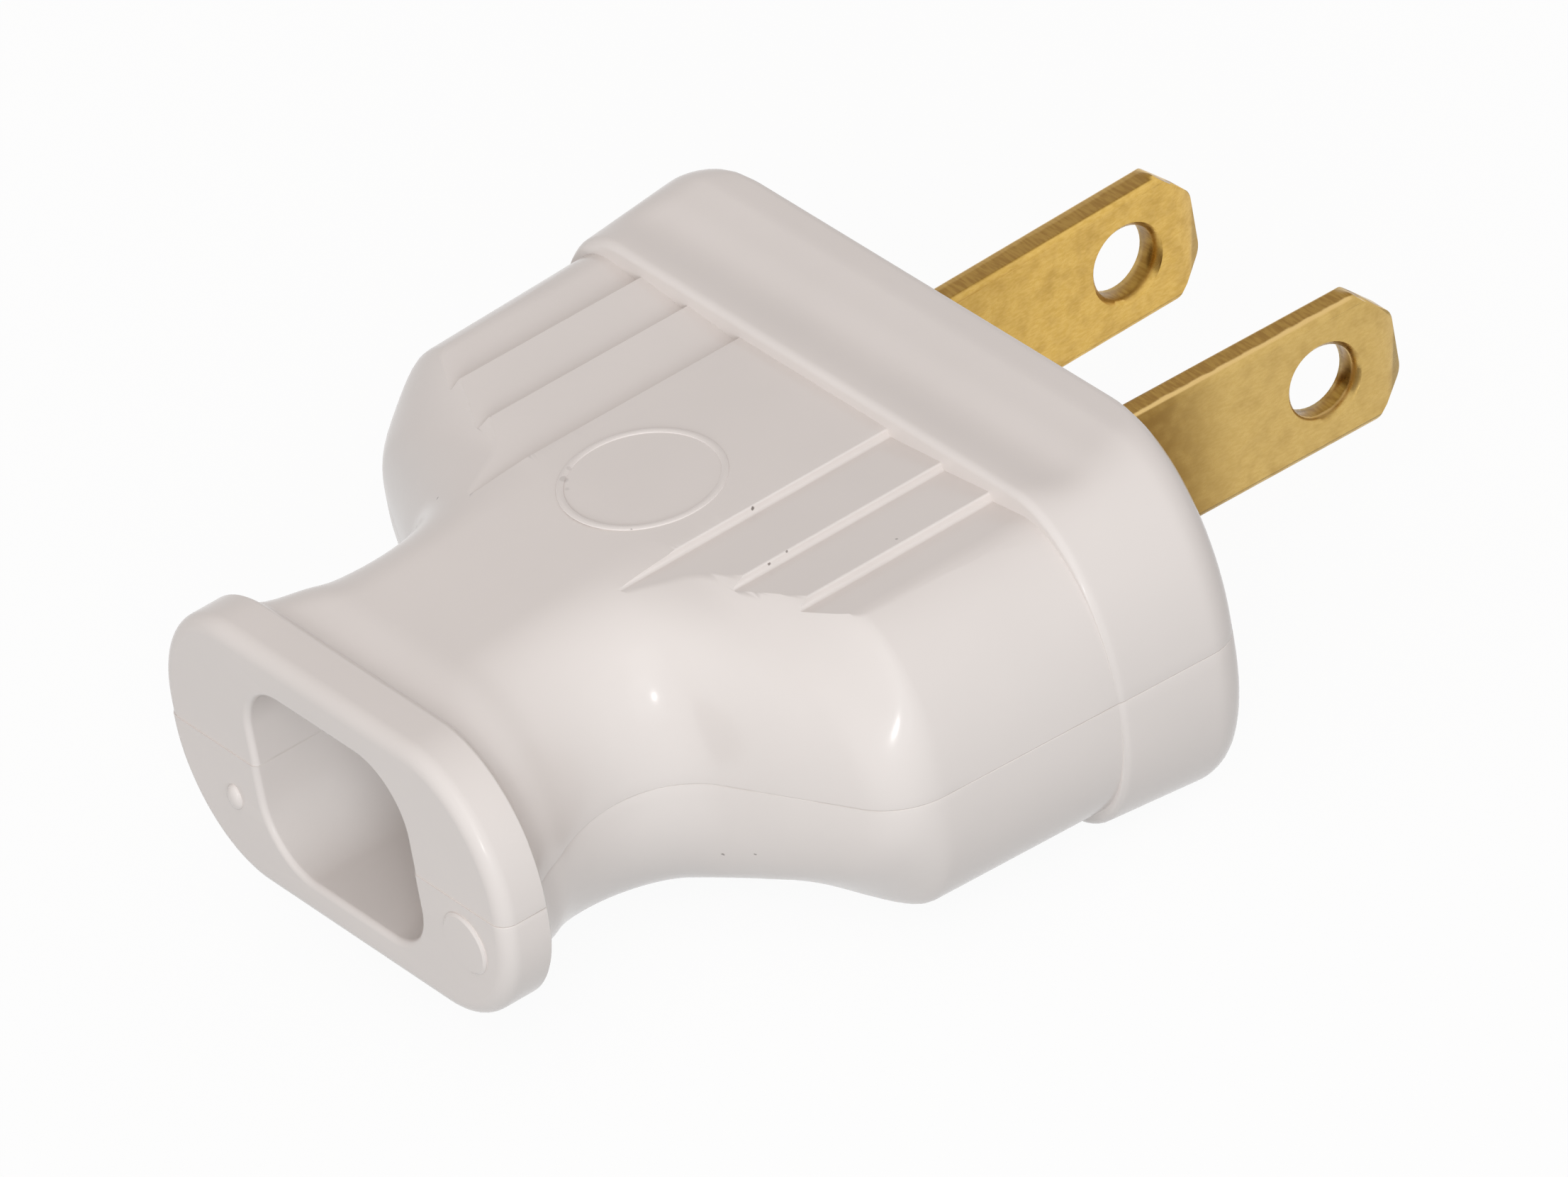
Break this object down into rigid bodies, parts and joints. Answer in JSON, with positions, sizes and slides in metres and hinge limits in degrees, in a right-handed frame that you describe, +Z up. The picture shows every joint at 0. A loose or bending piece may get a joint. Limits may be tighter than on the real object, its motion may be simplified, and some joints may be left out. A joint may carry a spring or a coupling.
{
  "type": "two-blade rewirable plug",
  "caption": "Rewirable flat-blade mains plug: two white moulded shells with stepped grip ribs, brass blades, inner screw terminals and a cord inlet.",
  "frame": {"origin": "centre of the mating face between the two blades, on the plane where the shells meet", "axes": "+X out along the blades into the socket, +Y to the left blade, +Z up to the shell with the panel ring"},
  "size_m": [0.0506, 0.038, 0.0176],
  "materials": {
    "white_thermoset": "gloss moulded",
    "brass": "stamped, slightly tarnished",
    "plated_steel": "zinc plated"
  },
  "bodies": {
    "root": {"upper_shell": "white_thermoset", "lower_shell": "white_thermoset", "blade_left": "brass", "blade_right": "brass", "terminal_screw_left": "plated_steel", "terminal_screw_right": "plated_steel", "terminal_washer_left": "plated_steel", "terminal_washer_right": "plated_steel", "closing_screw": "plated_steel", "closing_insert": "brass"}
  },
  "joints": []
}
